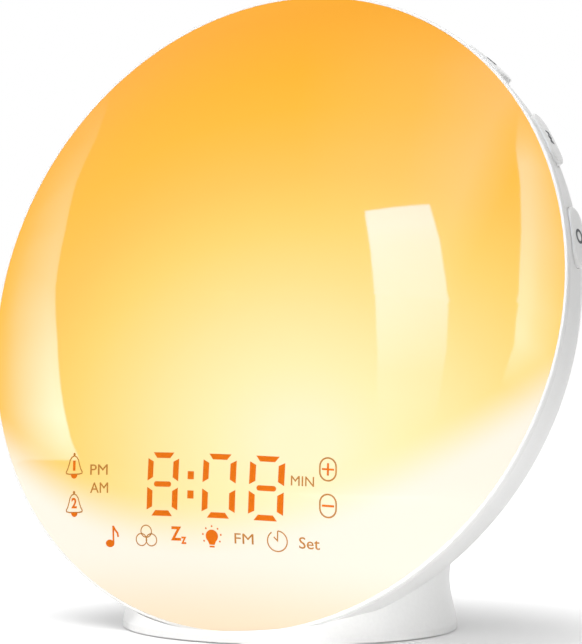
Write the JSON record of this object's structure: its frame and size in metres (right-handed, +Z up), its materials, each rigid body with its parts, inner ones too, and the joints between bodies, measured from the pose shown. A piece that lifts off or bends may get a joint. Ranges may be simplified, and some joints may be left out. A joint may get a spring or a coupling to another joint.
{
  "type": "sunrise alarm clock",
  "caption": "Round sunrise alarm clock: a leaning domed lamp disc with a glowing display, push keys on its rim, and an oval foot with a power inlet and a backup cell.",
  "frame": {"origin": "middle of the oval foot, on the table", "axes": "+Z up, front faces -Y, +X to the right seen from the front"},
  "size_m": [0.1728, 0.085, 0.1682],
  "materials": {
    "dome_pc": "gloss milky polycarbonate, lit from behind",
    "white_abs": "satin white ABS",
    "grey_abs": "fine matte pale grey ABS",
    "key_abs": "satin white ABS",
    "bowl_abs": "matte white",
    "housing_abs": "matte black",
    "mask_film": "thin film",
    "foam": "closed-cell foam",
    "board_glass_fibre": "glass-fibre board with green mask",
    "white_board": "glass-fibre board with white mask",
    "led_package": "light package",
    "led_amber": "amber light package",
    "chip_epoxy": "black moulding compound",
    "capacitor_can": "plain can",
    "connector_nylon": "natural nylon",
    "ribbon_film": "flat cable film",
    "wire_red": "PVC insulation",
    "wire_black": "PVC insulation",
    "switch_black": "moulded nylon",
    "plunger_white": "moulded acetal",
    "basket_steel": "pressed steel",
    "magnet_ferrite": "ferrite",
    "paper_cone": "coated paper",
    "surround_rubber": "matte",
    "zinc_screw": "zinc plated",
    "jack_nylon": "black nylon",
    "nickel_pin": "nickel plated brass",
    "cell_steel": "stainless steel",
    "contact_brass": "spring contact",
    "pad_rubber": "grey silicone rubber"
  },
  "bodies": {
    "lamp": {"front_diffuser": "dome_pc", "bezel_ring": "white_abs", "back_shell": "grey_abs", "reflector_bowl": "bowl_abs", "led_board": "white_board", "light_leds": "led_package", "light_wires": "wire_red", "display_mask": "mask_film", "display_gasket": "foam", "display_housing": "housing_abs", "display_board": "board_glass_fibre", "display_leds": "led_amber", "display_ribbon": "ribbon_film", "main_board": "board_glass_fibre", "board_chips": "chip_epoxy", "board_capacitors": "capacitor_can", "board_connectors": "connector_nylon", "key_board": "board_glass_fibre", "key_switches": "switch_black", "speaker_basket": "basket_steel", "speaker_magnet": "magnet_ferrite", "speaker_cone": "paper_cone", "speaker_surround": "surround_rubber", "dust_cap": "paper_cone", "case_screws": "zinc_screw", "board_screws": "zinc_screw", "display_screws": "zinc_screw", "speaker_screws": "zinc_screw", "base_screws": "zinc_screw", "dc_jack": "jack_nylon", "dc_jack_pin": "nickel_pin", "speaker_wires": "wire_black", "inlet_wires": "wire_red", "key_wires": "wire_black", "base_plate": "grey_abs", "coin_cell": "cell_steel", "cell_contacts": "contact_brass", "foot_pads": "pad_rubber"},
    "key_1": {"rim_key_1": "key_abs", "switch_plunger_1": "plunger_white"},
    "key_2": {"rim_key_2": "key_abs", "switch_plunger_2": "plunger_white"},
    "key_3": {"rim_key_3": "key_abs", "switch_plunger_3": "plunger_white"},
    "key_4": {"rim_key_4": "key_abs", "switch_plunger_4": "plunger_white"},
    "key_5": {"rim_key_5": "key_abs", "switch_plunger_5": "plunger_white"},
    "key_6": {"rim_key_6": "key_abs", "switch_plunger_6": "plunger_white"},
    "key_7": {"rim_key_7": "key_abs", "switch_plunger_7": "plunger_white"},
    "key_8": {"rim_key_8": "key_abs", "switch_plunger_8": "plunger_white"},
    "key_9": {"rim_key_9": "key_abs", "switch_plunger_9": "plunger_white"},
    "door": {"battery_door": "grey_abs"}
  },
  "joints": [
    {"name": "key_1_press", "type": "slide", "parent": "lamp", "child": "key_1", "axis": [0.9703, -0.0626, -0.2337], "range_m": [0, 0.0006], "stiffness_N_per_m": 800, "springref_m": -0.0003},
    {"name": "key_2_press", "type": "slide", "parent": "lamp", "child": "key_2", "axis": [0.8387, -0.141, -0.5261], "range_m": [0, 0.0006], "stiffness_N_per_m": 800, "springref_m": -0.0003},
    {"name": "key_3_press", "type": "slide", "parent": "lamp", "child": "key_3", "axis": [0.6157, -0.204, -0.7612], "range_m": [0, 0.0006], "stiffness_N_per_m": 800, "springref_m": -0.0003},
    {"name": "key_4_press", "type": "slide", "parent": "lamp", "child": "key_4", "axis": [0.3256, -0.2447, -0.9133], "range_m": [0, 0.0006], "stiffness_N_per_m": 800, "springref_m": -0.0003},
    {"name": "key_5_press", "type": "slide", "parent": "lamp", "child": "key_5", "axis": [0, -0.2588, -0.9659], "range_m": [0, 0.0006], "stiffness_N_per_m": 800, "springref_m": -0.0003},
    {"name": "key_6_press", "type": "slide", "parent": "lamp", "child": "key_6", "axis": [-0.3256, -0.2447, -0.9133], "range_m": [0, 0.0006], "stiffness_N_per_m": 800, "springref_m": -0.0003},
    {"name": "key_7_press", "type": "slide", "parent": "lamp", "child": "key_7", "axis": [-0.6157, -0.204, -0.7612], "range_m": [0, 0.0006], "stiffness_N_per_m": 800, "springref_m": -0.0003},
    {"name": "key_8_press", "type": "slide", "parent": "lamp", "child": "key_8", "axis": [-0.8387, -0.141, -0.5261], "range_m": [0, 0.0006], "stiffness_N_per_m": 800, "springref_m": -0.0003},
    {"name": "key_9_press", "type": "slide", "parent": "lamp", "child": "key_9", "axis": [-0.9703, -0.0626, -0.2337], "range_m": [0, 0.0006], "stiffness_N_per_m": 800, "springref_m": -0.0003},
    {"name": "battery_door_twist", "type": "hinge", "parent": "lamp", "child": "door", "pos_m": [0, 0.004, 0.0015], "axis": [0, 0, 1], "range_deg": [0, 60]}
  ]
}
